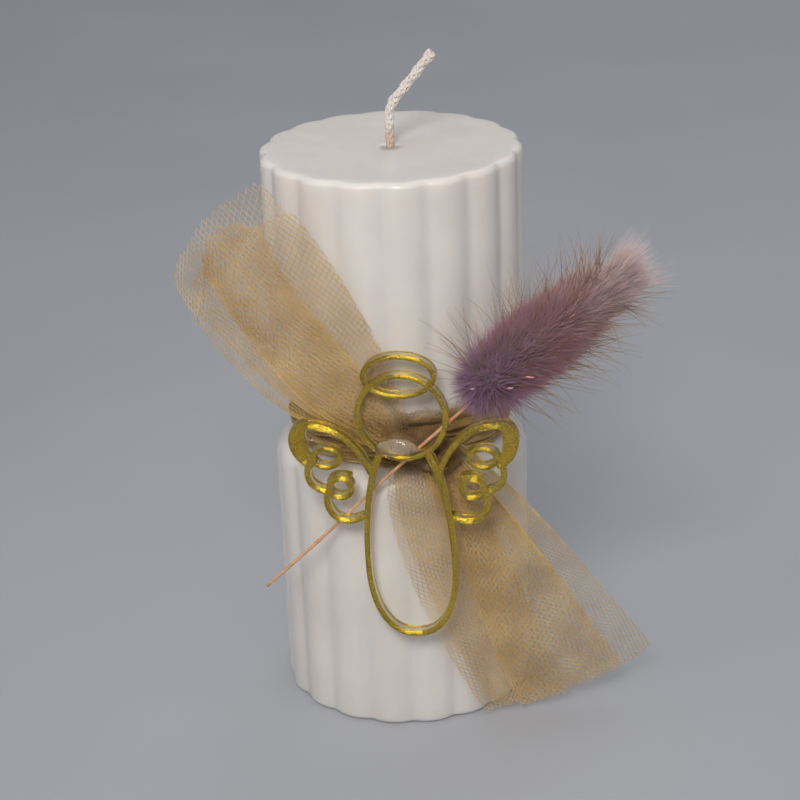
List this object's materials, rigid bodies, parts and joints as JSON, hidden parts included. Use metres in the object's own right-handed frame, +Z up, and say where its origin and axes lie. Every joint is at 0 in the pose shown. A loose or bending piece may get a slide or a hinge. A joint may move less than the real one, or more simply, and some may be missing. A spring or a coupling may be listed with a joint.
{
  "type": "unity candle",
  "caption": "Ribbed ivory pillar candle with a waist groove, a knotted net sash, a line-drawn angel charm and a dyed bunny-tail grass.",
  "frame": {"origin": "centre of the candle's flat base, on the surface it stands on", "axes": "+Z up along the candle; -Y is the front, with the knot and the charm; +X is to the right seen from the front"},
  "size_m": [0.0927, 0.0665, 0.1349],
  "materials": {
    "ivory_wax": "waxy, translucent, soft sheen",
    "wick_cotton": "waxed braided cotton",
    "gold_tulle": "open diamond net, slight sparkle",
    "gold_acrylic": "clear tinted, laser-cut edges",
    "gold_mirror": "metallised film with a grey back coat",
    "mauve_grass": "fine dyed hairs, matt",
    "straw_stem": "dry straw",
    "clear_glue": "glossy hot-melt glue"
  },
  "bodies": {
    "root": {"candle_body": "ivory_wax", "wick": "wick_cotton", "tulle_waist_wrap": "gold_tulle", "tulle_knot": "gold_tulle", "tulle_tail_upper": "gold_tulle", "tulle_tail_lower": "gold_tulle", "angel_acrylic": "gold_acrylic", "angel_mirror_back": "gold_mirror", "bunny_tail_head": "mauve_grass", "bunny_tail_stem": "straw_stem", "glue_dab": "clear_glue"}
  },
  "joints": []
}
